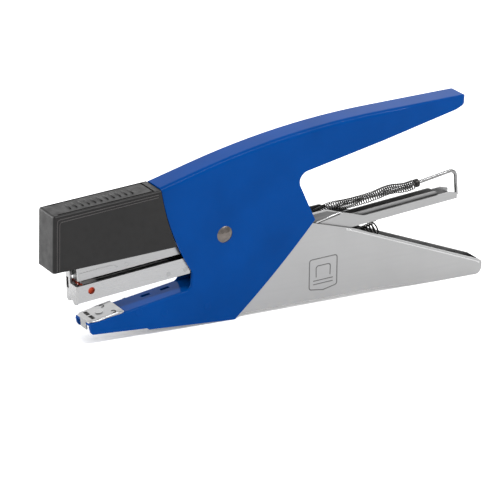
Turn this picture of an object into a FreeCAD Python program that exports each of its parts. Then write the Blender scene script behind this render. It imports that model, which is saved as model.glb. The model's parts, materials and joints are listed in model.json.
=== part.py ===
import FreeCAD, Part

import math
import os
import re

import Sketcher

# Plier stapler, in millimetres. Every sub-part is drawn about the axis of the one pivot pin that
# joins handle, lever and magazine: -X towards the staple exit, +X towards the grips, +Y to the far
# side, +Z up. Three frames share that pivot: "body" stands square to the table, "magazine" is tilted
# with the staple track and "jaw" with the top of the lower jaw. The finished model is lifted so that
# the stapler rests on z = 0 with the origin under the middle of its bounding box.

V = FreeCAD.Vector

# ---------------------------------------------------------------- driving dimensions
SIZES = {
    # tilt of the two slanted frames, degrees, rear up
    "track_slope": 5.6, "jaw_slope": 9.4,
    # half widths and sheet thicknesses, from the outside in
    "shell_half": 5.0, "shell_sheet": 0.8,
    "lever_half": 4.05, "lever_sheet": 0.75,
    "channel_half": 3.15, "channel_sheet": 0.55,
    "rail_half": 2.0, "rail_sheet": 0.45,
    # pivot
    "pin_radius": 2.0, "pin_head_radius": 2.9, "pin_head_height": 1.1, "pin_tail_radius": 2.5,
    "pin_flat": 0.35, "pin_head_bow": 4.1, "pin_tail_bow": 6.0,
    "press_gap": 0.02, "run_gap": 0.06, "washer_radius": 3.3, "washer_height": 0.45,
    "sleeve_wall": 0.5, "sleeve_half": 2.5, "torsion_inner": 2.75, "torsion_outer": 3.35,
    "torsion_half": 2.2, "stop_pin_x": 4.4, "stop_pin_z": -26.8, "stop_pin_radius": 1.2,
    # upper handle and cheeks: outer edge seen from the side
    "nape_x": -25.2, "nape_z": 19.7, "bow_x": -9.4, "bow_angle": 15.9, "back_angle": 2.6,
    "bow_radius": 296.0, "tip_x": 96.2, "tip_low_x": 95.6, "tip_low_z": 33.4,
    "grip_end_x": 92.1, "grip_end_z": 31.7, "throat_x": 26.9, "throat_z": 17.0, "throat_radius": 3.6,
    "elbow_x": 35.7, "elbow_z": -0.1, "belly_radius": 310.0, "belly_x": 8.2, "belly_z": -29.4,
    "heel_x": 5.8, "heel_z": -31.7, "step_x": -27.5, "step_z": -29.7, "step_run": 0.9, "step_rise": 0.6,
    "toe_x": -49.4, "toe_z": -27.9, "toe_radius": 1.4, "jaw_end_x": -50.1,
    "jaw_brow_x": -49.9, "jaw_end_z": -25.4,
    "jaw_top_radius": 2.0, "cheek_x": -12.0, "cheek_z": -11.5,
    "front_arc_radius": 85.0, "handle_bend": 1.6, "jaw_bend": 0.7, "jaw_web_end": -8.0,
    # the handle narrows in plan towards its tip, along a line from (flank_x, flank_half)
    "flank_x": 50.0, "flank_half": 5.45, "tip_half": 3.6, "tip_round": 2.2, "tip_wall": 2.8,
    "taper_x": 60.0, "core_round": 1.0,
    # lower jaw, in the jaw frame
    "jaw_top": -15.65, "jaw_cut_deep": 2.5, "lance_long": 3.4, "lance_wide": 1.4,
    "lance_front_x": -28.6, "lance_rear_x": -21.2, "lance_y": 1.8,
    "liner_front": -50.4, "liner_rear": -4.0, "liner_gap": 0.05,
    "liner_deep": 8.0, "liner_belly_deep": 7.0, "liner_belly_long": 24.0, "liner_front_deep": 2.4,
    "anvil_front": -53.4, "anvil_rear": -40.4, "anvil_half": 4.75, "anvil_front_half": 4.1,
    "anvil_front_round": 1.6, "anvil_rear_round": 0.9, "anvil_sheet": 0.7,
    "anvil_lip": 3.0, "anvil_lip_half": 1.9, "anvil_lip_sheet": 0.45, "anvil_lip_root": 0.3,
    "lip_gap": 0.15,
    "groove_x": -50.9, "groove_wide": 1.4, "groove_inner": 0.35, "groove_outer": 3.2,
    "groove_deep": 0.4, "anvil_rivet_x": -47.3, "anvil_rivet_radius": 0.9,
    "anvil_rivet_head": 1.35, "anvil_rivet_proud": 0.25, "anvil_rivet_neck": 0.1,
    # lower handle and the lever plates
    "hook_x": 36.3, "hook_z": -1.9, "knee_x": 52.6, "knee_z": -6.3,
    "lever_end_x": 108.35, "lever_end_z": -26.68, "lever_end_round": 1.8, "lever_heel_round": 2.6,
    "rest_start_x": 88.0, "floor_z": -31.7, "waist_x": 64.0, "waist_z": -30.1,
    "lever_foot_x": 7.6, "lever_foot_z": -30.4, "lever_shin_x": 6.0, "lever_shin_z": -25.0,
    "lever_web_end": 9.0,
    "head_front_x": -61.0, "head_front_top": 13.2, "head_rear_x": -25.5, "head_rear_top": 16.4,
    "brow_x": -18.5, "brow_z": 13.4, "boss_front_x": -4.0, "boss_rear_x": 6.0, "boss_top": 7.0,
    "shin_x": 4.0, "shin_z": -12.0, "chest_x": -5.0, "chest_z": -6.8, "chin_x": -12.5, "chin_z": -4.0,
    "throat_end_x": -19.5, "head_front_low": -3.2, "head_rear_low": -0.7,
    # black head cap
    "cap_half": 5.5, "cap_front_x": -65.0, "cap_front_top": 15.9, "cap_low_x": -64.5, "cap_low_z": -3.8,
    "cap_mid_x": -40.5, "cap_mid_z": -2.6, "cap_rear_x": -18.55, "cap_rear_z": -1.4,
    "cap_top_x": -25.5, "cap_top_z": 19.3, "cap_top_wall": 1.3, "cap_front_wall": 1.1,
    "cap_round": 0.9, "moat_deep": 0.6, "moat_inner": 4.0, "moat_outer": 4.6, "moat_inset": 2.0,
    # magazine, in the magazine frame
    "track_floor": -11.05, "nose_top": -5.05, "nose_front": -55.85, "nose_rear": -9.0,
    "nose_slant": 2.5, "nose_floor_front": -50.3, "nose_floor_rear": -25.2,
    "window_x": -50.4, "window_z": -7.58, "window_radius": 1.25,
    "lobe_y": 2.2, "lobe_radius": 1.45, "lobe_z": -10.55, "mask_top": 2.2, "mask_inner": 0.3,
    "mask_outer": 3.2,
    "mask_foot": 1.0, "mask_outer_round": 1.3, "mask_inner_round": 0.6,
    "mask_slot_low": -7.4, "mask_slot_high": -3.4, "mask_slot_half": 0.65,
    "guide_rear": -53.75, "guide_top": -5.4, "guide_low": -10.9, "guide_gap": 0.08,
    "guide_lead": 0.4, "guide_lead_deep": 0.6,
    "channel_front": -25.0, "channel_low_wall": -7.7, "ear_front": -8.0, "ear_top": 3.3,
    "ear_foot": 4.0, "ear_brow": 3.0, "ear_step_z": -4.0, "ear_round": 1.5, "ear_crest_x": 6.0,
    "ear_fall_x": 36.0, "ear_fall_z": -2.0, "wall_round": 6.0, "channel_end_slant": 3.0,
    "ear_rear_x": 42.0, "ear_rear_z": -2.2, "ear_drop_x": 47.0, "ear_drop_z": -4.4,
    "wall_start": 56.5, "wall_z": -8.0, "channel_rear": 95.2, "channel_rear_z": -9.05,
    "lug_x": 66.5, "lug_long": 5.5, "lug_deep": 1.05, "lug_half": 1.2, "lug_root": 0.3,
    "rail_front": -51.2, "rail_rear": 88.6, "rail_top": -6.7, "rail_low": -10.45,
    "rail_round": 3.0, "nose_rivet_radius": 0.9, "nose_rivet_z": -9.2,
    "nose_rivet_front": -21.5, "nose_rivet_rear": -15.0, "rail_rivet_radius": 0.9, "rail_rivet_proud": 0.3,
    "rail_rivet_front": 30.0, "rail_rivet_rear": 84.0,
    # hammer arm and driver blade, in the magazine frame
    "arm_front": -54.8, "arm_rear": -13.0, "arm_low": -3.6, "arm_top": 5.0,
    "arm_bead": 0.1, "arm_bead_low": -3.1, "arm_bead_high": -0.9, "arm_bead_rear": -40.0,
    "arm_bead_inset": 0.6, "arm_bead_point": 2.0,
    "blade_x": -53.4, "blade_sheet": 0.5, "blade_half": 2.45, "blade_tip": -4.75,
    "blade_tab_rear": -45.5, "blade_rivet_radius": 0.7, "blade_rivet_front": -50.2, "blade_rivet_rear": -47.4,
    "arm_rivet_radius": 0.9, "arm_rivet_front_x": -46.0, "arm_rivet_front_z": 3.6,
    "arm_rivet_rear_x": -22.0, "arm_rivet_rear_z": 3.2,
    # follower rod, its spring and the pusher, in the magazine frame
    "rod_radius": 0.65, "rod_z": -8.54, "rod_front": -49.0, "rod_rise_x": 14.0,
    "rod_crest_x": 43.0, "rod_crest_z": -3.25, "rod_run_x": 78.0, "rod_run_z": -2.95,
    "rod_bend_x": 96.6, "rod_bend_z": -1.45, "rod_foot_x": 97.0, "rod_foot_z": -11.0,
    "rod_soft_bend": 12.0, "rod_tight_bend": 2.4,
    "coil_inner": 0.85, "coil_outer": 1.4, "coil_front": -45.3, "coil_split": 11.0,
    "coil_rear": 80.0, "collar_radius": 1.5, "collar_long": 1.2, "collar_offset": 1.6,
    "pusher_front": -52.0, "pusher_rear": -45.5, "pusher_half": 2.5, "pusher_top": -6.1,
    "pusher_low": -10.2, "pusher_gap": 0.1, "pusher_chamfer": 1.2,
    # return spring between lever and magazine, in the body frame
    "return_front_x": 46.6, "return_front_z": -14.2, "return_rear_x": 65.6, "return_rear_z": -9.2,
    "return_outer": 2.5, "return_wire": 0.5, "anchor_low": -17.5, "anchor_high": -12.8,
    "anchor_sheet": 0.7, "anchor_gap": 0.6,
    # how far a cutting outline runs past the sheet it opens, and past a small face
    "past": 12.0, "beyond": 1.0,
}
SIZES["cavity_half"] = SIZES["shell_half"] - SIZES["shell_sheet"]
SIZES["lever_inner"] = SIZES["lever_half"] - SIZES["lever_sheet"]
SIZES["channel_inner"] = SIZES["channel_half"] - SIZES["channel_sheet"]
SIZES["rail_inner"] = SIZES["rail_half"] - SIZES["rail_sheet"]


def turned(x, z, degrees, distance):
    """The point that lies distance away from (x, z) along a heading in degrees above +X."""
    angle = math.radians(degrees)
    return x + distance * math.cos(angle), z + distance * math.sin(angle)


def back_line(depth):
    """Corner points of the handle's back, depth below its outer face: nape, bow, back and tip.

    The back is a straight rise, an arc tangent to it and a straight run to the tip."""
    s = SIZES
    nape = turned(s["nape_x"], s["nape_z"], s["bow_angle"] - 90, depth)
    along = (s["bow_x"] - s["nape_x"]) / math.cos(math.radians(s["bow_angle"]))
    bow = turned(*nape, s["bow_angle"], along)
    centre = turned(*bow, s["bow_angle"] - 90, s["bow_radius"] - depth)
    back = turned(*centre, s["back_angle"] + 90, s["bow_radius"] - depth)
    run = (s["tip_x"] - back[0]) / math.cos(math.radians(s["back_angle"]))
    return nape, bow, back, turned(*back, s["back_angle"], run)


for prefix, depth in (("outer", 0.0), ("inner", SIZES["shell_sheet"])):
    for word, point in zip(("nape", "bow", "back", "tip"), back_line(depth)):
        SIZES[f"{prefix}_{word}_x"], SIZES[f"{prefix}_{word}_z"] = point


def jaw_top_z(x):
    """Height of the jaw's top face at x, in the body frame."""
    slope = math.radians(SIZES["jaw_slope"])
    return x * math.tan(slope) + SIZES["jaw_top"] / math.cos(slope)


for end in ("front", "rear"):
    tilted = (SIZES[f"arm_rivet_{end}_x"], SIZES[f"arm_rivet_{end}_z"])
    SIZES[f"arm_rivet_{end}_level_x"], SIZES[f"arm_rivet_{end}_level_z"] = turned(
        *turned(0, 0, SIZES["track_slope"], tilted[0]), SIZES["track_slope"] + 90, tilted[1])
SIZES["jaw_front_top"] = jaw_top_z(SIZES["jaw_brow_x"])
SIZES["jaw_corner_top"] = jaw_top_z(SIZES["cheek_x"])
SIZES["jaw_low_x"], SIZES["jaw_low_z"] = turned(
    0, 0, SIZES["jaw_slope"] + 90, SIZES["jaw_top"] - SIZES["jaw_cut_deep"])
cap_way = SIZES["cap_top_x"] - SIZES["cap_front_x"], SIZES["cap_top_z"] - SIZES["cap_front_top"]
SIZES["cap_rise"] = cap_way[1] / cap_way[0]
SIZES["cap_slope"] = math.degrees(math.atan2(cap_way[1], cap_way[0]))
SIZES["cap_run"] = math.hypot(*cap_way)
SIZES["head_rise"] = (SIZES["head_rear_top"] - SIZES["head_front_top"]) / (
    SIZES["head_rear_x"] - SIZES["head_front_x"])
SIZES["bow_slope"] = math.tan(math.radians(SIZES["bow_angle"]))
SIZES["inner_run"] = math.hypot(
    SIZES["inner_tip_x"] - SIZES["inner_back_x"], SIZES["inner_tip_z"] - SIZES["inner_back_z"])
SIZES["web_drop"] = SIZES["shell_sheet"] / math.cos(math.radians(SIZES["jaw_slope"]))
SIZES["jaw_web_end_top"] = jaw_top_z(SIZES["jaw_web_end"])
SIZES["jaw_past_top"] = jaw_top_z(SIZES["jaw_end_x"] - SIZES["past"])

# ---------------------------------------------------------------- the document and its sheet
doc = FreeCAD.newDocument("plier_stapler")
sheet = doc.addObject("Spreadsheet::Sheet", "Sizes")
for row, (alias, size) in enumerate(SIZES.items(), start=1):
    sheet.set(f"A{row}", alias)
    sheet.set(f"B{row}", repr(float(size)))
    sheet.setAlias(f"B{row}", alias)
doc.recompute()

MIDDLE_X = (SIZES["cap_front_x"] + SIZES["lever_end_x"]) / 2
PIVOT = V(-MIDDLE_X, 0, -SIZES["floor_z"])
FRAMES = {
    "body": FreeCAD.Placement(PIVOT, FreeCAD.Rotation()),
    "magazine": FreeCAD.Placement(PIVOT, FreeCAD.Rotation(V(0, -1, 0), SIZES["track_slope"])),
    "jaw": FreeCAD.Placement(PIVOT, FreeCAD.Rotation(V(0, -1, 0), SIZES["jaw_slope"])),
}
SUBPARTS = []


def number(formula):
    """What a sum of sheet names and plain numbers comes to, such as 'nose_top - 2 * past'."""
    total = 0.0
    for sign, term in re.findall(r"([+-]?)\s*([^+-]+)", formula):
        product = -1.0 if sign == "-" else 1.0
        for factor in term.split("*"):
            word = factor.strip()
            product *= SIZES[word] if word in SIZES else float(word)
        total += product
    return total


def bound(formula):
    """The same sum as an expression that reads the sheet."""
    return re.sub(r"[a-z][a-z_]*", lambda match: "Sizes." + match.group(0), formula)


def new_body(label, frame):
    body = doc.addObject("PartDesign::Body", label)
    body.Label = label
    body.Placement = FRAMES[frame]
    SUBPARTS.append(body)
    return body


def slanted_sketch(body, x, z, slope):
    """An empty sketch through the point (x, z), square to Y's plane and rising at the slope."""
    sketch = new_sketch(body, "XY")
    spot = V(number(x), 0, number(z))
    sketch.AttachmentOffset = FreeCAD.Placement(spot, FreeCAD.Rotation(V(0, -1, 0), SIZES[slope]))
    sketch.setExpression("AttachmentOffset.Base.x", bound(x))
    sketch.setExpression("AttachmentOffset.Base.z", bound(z))
    return sketch


def new_sketch(body, plane, lift=None):
    """An empty sketch on one of the body's own origin planes, lifted along its normal."""
    role = [f for f in body.Origin.OriginFeatures if f.Role == plane + "_Plane"][0]
    sketch = body.newObject("Sketcher::SketchObject", body.Label + "_sketch")
    sketch.AttachmentSupport = [(role, "")]
    sketch.MapMode = "FlatFace"
    if lift:
        sketch.AttachmentOffset = FreeCAD.Placement(V(0, 0, number(lift)), FreeCAD.Rotation())
        sketch.setExpression("AttachmentOffset.Base.z", bound(lift))
    return sketch


def bind(sketch, constraint, formula):
    index = sketch.addConstraint(constraint)
    sketch.setExpression(f"Constraints[{index}]", bound(formula))


def corner(x, y, round=None, bow=None):
    """One corner of an outline: round is its fillet radius, bow the radius of an arc that leads on
    to the next corner, bulging to the left of the way there (or to the right, with a minus)."""
    return {"x": x, "y": y, "round": round, "bow": bow}


def pin_point(sketch, geometry, end, point):
    bind(sketch, Sketcher.Constraint("DistanceX", -1, 1, geometry, end, number(point["x"])), point["x"])
    bind(sketch, Sketcher.Constraint("DistanceY", -1, 1, geometry, end, number(point["y"])), point["y"])


def outline(sketch, corners, closed=True):
    """Draws a chain of lines and arcs through the corners and ties each one to the sheet."""
    spots = [V(number(c["x"]), number(c["y"]), 0) for c in corners]
    count = len(corners)
    starts = list(spots)
    ends = list(spots)
    for i, c in enumerate(corners):
        if c["round"]:
            into = (spots[i - 1] - spots[i]).normalize()
            out = (spots[(i + 1) % count] - spots[i]).normalize()
            reach = number(c["round"]) / math.tan(into.getAngle(out) / 2)
            ends[i] = spots[i] + into * reach
            starts[i] = spots[i] + out * reach
    edges = []
    for i in range(count if closed else count - 1):
        a, b = starts[i], ends[(i + 1) % count]
        bow = corners[i]["bow"]
        if bow:
            radius = abs(number(bow))
            side = 1 if number(bow) > 0 else -1
            chord = b - a
            left = V(-chord.y, chord.x, 0).normalize() * side
            sag = radius - math.sqrt(radius ** 2 - (chord.Length / 2) ** 2)
            edges.append(sketch.addGeometry(Part.Arc(a, (a + b) * 0.5 + left * sag, b), False))
        else:
            edges.append(sketch.addGeometry(Part.LineSegment(a, b), False))
    for i, c in enumerate(corners):
        before = edges[i - 1] if closed or i > 0 else None
        after = edges[i] if i < len(edges) else None
        if c["round"]:
            into = (spots[i - 1] - spots[i]).normalize()
            out = (spots[(i + 1) % count] - spots[i]).normalize()
            half = into.getAngle(out) / 2
            centre = spots[i] + (into + out).normalize() * (number(c["round"]) / math.sin(half))
            inner = centre + (spots[i] - centre).normalize() * number(c["round"])
            arc = sketch.addGeometry(Part.Arc(ends[i], inner, starts[i]), False)
            flat = sketch.addGeometry(Part.Point(spots[i]), True)
            pin_point(sketch, flat, 1, c)
            sketch.addConstraint(Sketcher.Constraint("PointOnObject", flat, 1, before))
            sketch.addConstraint(Sketcher.Constraint("PointOnObject", flat, 1, after))
            first = nearest_end(sketch, arc, ends[i])
            sketch.addConstraint(
                Sketcher.Constraint("Tangent", before, nearest_end(sketch, before, ends[i]), arc, first))
            sketch.addConstraint(
                Sketcher.Constraint("Tangent", arc, 3 - first, after, nearest_end(sketch, after, starts[i])))
            bind(sketch, Sketcher.Constraint("Radius", arc, number(c["round"])), c["round"])
            continue
        if after is not None:
            pin_point(sketch, after, nearest_end(sketch, after, starts[i]), c)
        else:
            pin_point(sketch, before, nearest_end(sketch, before, ends[i]), c)
        if before is not None and after is not None:
            sketch.addConstraint(Sketcher.Constraint(
                "Coincident", before, nearest_end(sketch, before, ends[i]),
                after, nearest_end(sketch, after, starts[i])))
    for i, edge in enumerate(edges):
        if corners[i]["bow"]:
            formula = corners[i]["bow"].lstrip("- ")
            bind(sketch, Sketcher.Constraint("Radius", edge, number(formula)), formula)
    return edges


def nearest_end(sketch, geometry, spot):
    """1 or 2: which end of a sketch edge lies at the spot."""
    first = sketch.getPoint(geometry, 1)
    second = sketch.getPoint(geometry, 2)
    return 1 if first.distanceToPoint(spot) < second.distanceToPoint(spot) else 2


def circle(sketch, x, y, radius):
    spot = V(number(x), number(y), 0)
    ring = sketch.addGeometry(Part.Circle(spot, V(0, 0, 1), number(radius)), False)
    pin_point(sketch, ring, 3, {"x": x, "y": y})
    bind(sketch, Sketcher.Constraint("Radius", ring, number(radius)), radius)


def slab(body, sketch, width):
    """Pads a sketch to the same depth on both sides of its plane."""
    pad = body.newObject("PartDesign::Pad", body.Label + "_pad")
    pad.Profile = sketch
    pad.SideType = "Symmetric"
    pad.setExpression("Length", bound(width))
    doc.recompute()
    return pad


def raise_pad(body, sketch, height, reverse=False):
    pad = body.newObject("PartDesign::Pad", body.Label + "_pad")
    pad.Profile = sketch
    pad.Reversed = reverse
    pad.setExpression("Length", bound(height))
    doc.recompute()
    return pad


def cut(body, sketch, width=None, depth=None, reverse=False):
    """Pockets a sketch, either to the same depth on both sides or one way to a depth.

    Raises an error if nothing was removed."""
    before = body.Shape.Volume
    pocket = body.newObject("PartDesign::Pocket", body.Label + "_pocket")
    pocket.Profile = sketch
    if width:
        pocket.SideType = "Symmetric"
        pocket.setExpression("Length", bound(width))
    else:
        pocket.Reversed = reverse
        pocket.setExpression("Length", bound(depth))
    doc.recompute()
    if body.Shape.Volume > before - 1e-3:
        raise RuntimeError(f"{pocket.Label} removed nothing")
    return pocket


def soften(body, radius, chosen):
    """Fillets the edges of the body so far whose middle point passes the test."""
    base = body.Tip
    names = []
    for i, edge in enumerate(base.Shape.Edges, start=1):
        middle = edge.valueAt((edge.FirstParameter + edge.LastParameter) / 2)
        if chosen(middle):
            names.append(f"Edge{i}")
    if not names:
        raise RuntimeError(f"no edge of {body.Label} to round")
    fillet = body.newObject("PartDesign::Fillet", body.Label + "_fillet")
    fillet.Base = (base, names)
    fillet.setExpression("Radius", bound(radius))
    doc.recompute()
    return fillet


def tube(label, frame, inner, outer, half, x="0", z="0"):
    """A ring or bush whose axis lies along Y."""
    body = new_body(label, frame)
    sketch = new_sketch(body, "XZ")
    circle(sketch, x, z, outer)
    if inner:
        circle(sketch, x, z, inner)
    slab(body, sketch, f"2 * {half}")
    return body


def cylinders(label, frame, radius, rods):
    """A group of separate plain cylinders: each rod is its start point, its axis and its length."""
    made = []
    for i, (start, axis, length) in enumerate(rods):
        rod = doc.addObject("Part::Cylinder", f"{label}_{i}")
        rod.setExpression("Radius", bound(radius))
        rod.setExpression("Height", bound(length))
        spot = V(*(number(c) for c in start))
        rod.Placement = FreeCAD.Placement(spot, FreeCAD.Rotation(V(0, 0, 1), axis))
        for key, formula in zip("xyz", start):
            rod.setExpression(f"Placement.Base.{key}", bound(formula))
        made.append(rod)
    group = doc.addObject("Part::Compound", label)
    group.Label = label
    group.Links = made
    group.Placement = FRAMES[frame]
    SUBPARTS.append(group)
    return group


def pierce_walls(body, radius, spots):
    """Holes along Y through both side walls, a press fit for rivets of that radius."""
    for x, z in spots:
        bore = new_sketch(body, "XZ")
        circle(bore, x, z, radius + " + press_gap")
        cut(body, bore, width="4 * shell_half")


def pierce_floor(body, radius, spots, low):
    """Holes along Z through a floor or web that starts above low."""
    for x in spots:
        bore = new_sketch(body, "XY", lift=low)
        circle(bore, x, "0", radius + " + press_gap")
        cut(body, bore, depth="past", reverse=True)


ARM_RIVETS = [("arm_rivet_front_x", "arm_rivet_front_z"), ("arm_rivet_rear_x", "arm_rivet_rear_z")]
NOSE_RIVETS = [("nose_rivet_front", "nose_rivet_z"), ("nose_rivet_rear", "nose_rivet_z")]
BLADE_RIVETS = ["blade_rivet_front", "blade_rivet_rear"]
RAIL_RIVETS = ["rail_rivet_front", "rail_rivet_rear"]

# ---------------------------------------------------------------- blue body
def body_shell():
    """One stamping: the upper handle, the two cheeks and the lower jaw."""
    body = new_body("body_shell", "body")
    sketch = new_sketch(body, "XZ")
    outline(sketch, [
        corner("outer_nape_x", "outer_nape_z"),
        corner("outer_bow_x", "outer_bow_z", bow="bow_radius"),
        corner("outer_back_x", "outer_back_z"),
        corner("outer_tip_x", "outer_tip_z"),
        corner("tip_low_x", "tip_low_z"),
        corner("grip_end_x", "grip_end_z"),
        corner("throat_x", "throat_z", round="throat_radius"),
        corner("elbow_x", "elbow_z", bow="belly_radius"),
        corner("belly_x", "belly_z"),
        corner("heel_x", "heel_z"),
        corner("step_x", "step_z"),
        corner("step_x - step_run", "step_z + step_rise"),
        corner("toe_x", "toe_z", round="toe_radius"),
        corner("jaw_end_x", "jaw_end_z"),
        corner("jaw_brow_x", "jaw_front_top"),
        corner("cheek_x", "jaw_corner_top", round="jaw_top_radius"),
        corner("cheek_x", "cheek_z", bow="front_arc_radius"),
    ])
    slab(body, sketch, "2 * shell_half")
    soften(body, "handle_bend", on_back)
    plan = new_sketch(body, "XY")
    outline(plan, [
        corner("flank_x", "flank_half"),
        corner("tip_x", "tip_half", round="tip_round"),
        corner("tip_x", "0 - tip_half", round="tip_round"),
        corner("flank_x", "0 - flank_half"),
        corner("flank_x", "0 - past"),
        corner("tip_x + past", "0 - past"),
        corner("tip_x + past", "past"),
        corner("flank_x", "past"),
    ])
    cut(body, plan, width="12 * past")
    soften(body, "jaw_bend", lambda m: abs(m.y) > 4.9 and m.x < -20 and on_jaw_top(m))
    hollow = new_sketch(body, "XZ")
    outline(hollow, [
        corner("inner_nape_x - past", "inner_nape_z - bow_slope * past"),
        corner("inner_bow_x", "inner_bow_z", bow="bow_radius - shell_sheet"),
        corner("inner_back_x", "inner_back_z"),
        corner("inner_back_x", "floor_z - past"),
        corner("jaw_end_x - past", "floor_z - past"),
        corner("jaw_end_x - past", "jaw_past_top - web_drop"),
        corner("jaw_web_end", "jaw_web_end_top - web_drop"),
        corner("jaw_web_end", "jaw_web_end_top"),
        corner("jaw_end_x - past", "jaw_past_top"),
    ])
    cut(body, hollow, width="2 * cavity_half")
    rear = slanted_sketch(body, "inner_back_x", "inner_back_z", "back_angle")
    outline(rear, [
        corner("0 - beyond", "cavity_half"),
        corner("taper_x - inner_back_x", "cavity_half"),
        corner("inner_run - tip_wall", "tip_half - shell_sheet", round="core_round"),
        corner("inner_run - tip_wall", "shell_sheet - tip_half", round="core_round"),
        corner("taper_x - inner_back_x", "0 - cavity_half"),
        corner("0 - beyond", "0 - cavity_half"),
    ])
    cut(body, rear, depth="2 * past")
    hole = new_sketch(body, "XZ")
    circle(hole, "0", "0", "pin_radius + press_gap")
    cut(body, hole, width="4 * shell_half")
    rivet_hole = slanted_sketch(body, "jaw_low_x", "jaw_low_z", "jaw_slope")
    circle(rivet_hole, "anvil_rivet_x", "0", "anvil_rivet_radius + press_gap")
    cut(body, rivet_hole, depth="2 * jaw_cut_deep", reverse=True)
    notch = slanted_sketch(body, "jaw_low_x", "jaw_low_z", "jaw_slope")
    outline(notch, [
        corner("anvil_front - past", "0 - anvil_lip_half - lip_gap"),
        corner("anvil_front + anvil_lip_sheet + lip_gap", "0 - anvil_lip_half - lip_gap"),
        corner("anvil_front + anvil_lip_sheet + lip_gap", "anvil_lip_half + lip_gap"),
        corner("anvil_front - past", "anvil_lip_half + lip_gap"),
    ])
    cut(body, notch, depth="2 * jaw_cut_deep", reverse=True)
    for x in ("lance_front_x", "lance_rear_x"):
        lance = slanted_sketch(body, "jaw_low_x", "jaw_low_z", "jaw_slope")
        outline(lance, [
            corner(x + " - 0.5 * lance_long", "lance_y - 0.5 * lance_wide"),
            corner(x + " + 0.5 * lance_long", "lance_y - 0.5 * lance_wide"),
            corner(x + " + 0.5 * lance_long", "lance_y + 0.5 * lance_wide"),
            corner(x + " - 0.5 * lance_long", "lance_y + 0.5 * lance_wide"),
        ])
        cut(body, lance, depth="2 * jaw_cut_deep", reverse=True)
    return body


def on_back(m):
    """Whether a point is on the rim of the handle's back, the tip's edge included."""
    _, bow, back, tip = back_line(0.0)
    if m.x < bow[0]:
        top = SIZES["nape_z"] + (m.x - SIZES["nape_x"]) * math.tan(math.radians(SIZES["bow_angle"]))
    elif m.x < back[0]:
        centre = turned(*bow, SIZES["bow_angle"] - 90, SIZES["bow_radius"])
        top = centre[1] + math.sqrt(SIZES["bow_radius"] ** 2 - (m.x - centre[0]) ** 2)
    else:
        top = back[1] + (m.x - back[0]) * math.tan(math.radians(SIZES["back_angle"]))
    on_edge = abs(m.y) > 1 or m.x > SIZES["tip_x"] - 0.1
    return abs(m.z - top) < 0.05 and on_edge


def on_jaw_top(m):
    return abs(m.z - jaw_top_z(m.x)) < 0.05


def jaw_liner():
    """Channel spot-welded under the jaw's top web."""
    body = new_body("jaw_liner", "jaw")
    sketch = new_sketch(body, "XZ")
    top = "jaw_top - shell_sheet - liner_gap"
    outline(sketch, [
        corner("liner_front", top),
        corner("liner_rear", top),
        corner("liner_rear", "jaw_top - liner_deep"),
        corner("liner_rear - liner_belly_long", "jaw_top - liner_belly_deep"),
        corner("liner_front", "jaw_top - liner_front_deep"),
    ])
    slab(body, sketch, "2 * cavity_half - 2 * liner_gap")
    hollow = new_sketch(body, "XZ")
    outline(hollow, [
        corner("liner_front - past", top + " - shell_sheet"),
        corner("liner_rear + past", top + " - shell_sheet"),
        corner("liner_rear + past", "jaw_top - 4 * past"),
        corner("liner_front - past", "jaw_top - 4 * past"),
    ])
    cut(body, hollow, width="2 * cavity_half - 2 * liner_gap - 2 * shell_sheet")
    hole = new_sketch(body, "XY", lift="jaw_top - 2 * past")
    circle(hole, "anvil_rivet_x", "0", "anvil_rivet_radius + press_gap")
    cut(body, hole, depth="4 * past", reverse=True)
    return body


def anvil_plate():
    """Clinching plate on the jaw's front, with two staple grooves and a folded front lip."""
    body = new_body("anvil_plate", "jaw")
    plan = new_sketch(body, "XY", lift="jaw_top + press_gap")
    outline(plan, [
        corner("anvil_front", "0 - anvil_front_half", round="anvil_front_round"),
        corner("anvil_rear", "0 - anvil_half", round="anvil_rear_round"),
        corner("anvil_rear", "anvil_half", round="anvil_rear_round"),
        corner("anvil_front", "anvil_front_half", round="anvil_front_round"),
    ])
    raise_pad(body, plan, "anvil_sheet")
    lip = new_sketch(body, "XZ")
    outline(lip, [
        corner("anvil_front", "jaw_top + anvil_lip_root"),
        corner("anvil_front + anvil_lip_sheet", "jaw_top + anvil_lip_root"),
        corner("anvil_front + anvil_lip_sheet", "jaw_top - anvil_lip"),
        corner("anvil_front", "jaw_top - anvil_lip"),
    ])
    slab(body, lip, "2 * anvil_lip_half")
    for side in ("", "0 - "):
        groove = new_sketch(body, "XY", lift="jaw_top + press_gap + anvil_sheet - groove_deep")
        near, far = side + "groove_inner", side + "groove_outer"
        outline(groove, [
            corner("groove_x - 0.5 * groove_wide", near),
            corner("groove_x + 0.5 * groove_wide", near),
            corner("groove_x + 0.5 * groove_wide", far),
            corner("groove_x - 0.5 * groove_wide", far),
        ])
        cut(body, groove, depth="past", reverse=True)
    hole = new_sketch(body, "XY", lift="jaw_top - past")
    circle(hole, "anvil_rivet_x", "0", "anvil_rivet_radius + press_gap")
    cut(body, hole, depth="4 * past", reverse=True)
    return body


def anvil_rivet():
    """Rivet through anvil plate, jaw web and liner."""
    body = new_body("anvil_rivet", "jaw")
    top = "jaw_top + press_gap + anvil_sheet"
    low = "jaw_top - 2 * shell_sheet - liner_gap"
    shank = new_sketch(body, "XY", lift=low)
    circle(shank, "anvil_rivet_x", "0", "anvil_rivet_radius")
    raise_pad(body, shank, "2 * shell_sheet + liner_gap + press_gap + anvil_sheet + anvil_rivet_neck")
    head = new_sketch(body, "XY", lift=top + " + press_gap")
    circle(head, "anvil_rivet_x", "0", "anvil_rivet_head")
    raise_pad(body, head, "anvil_rivet_proud")
    return body


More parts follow.
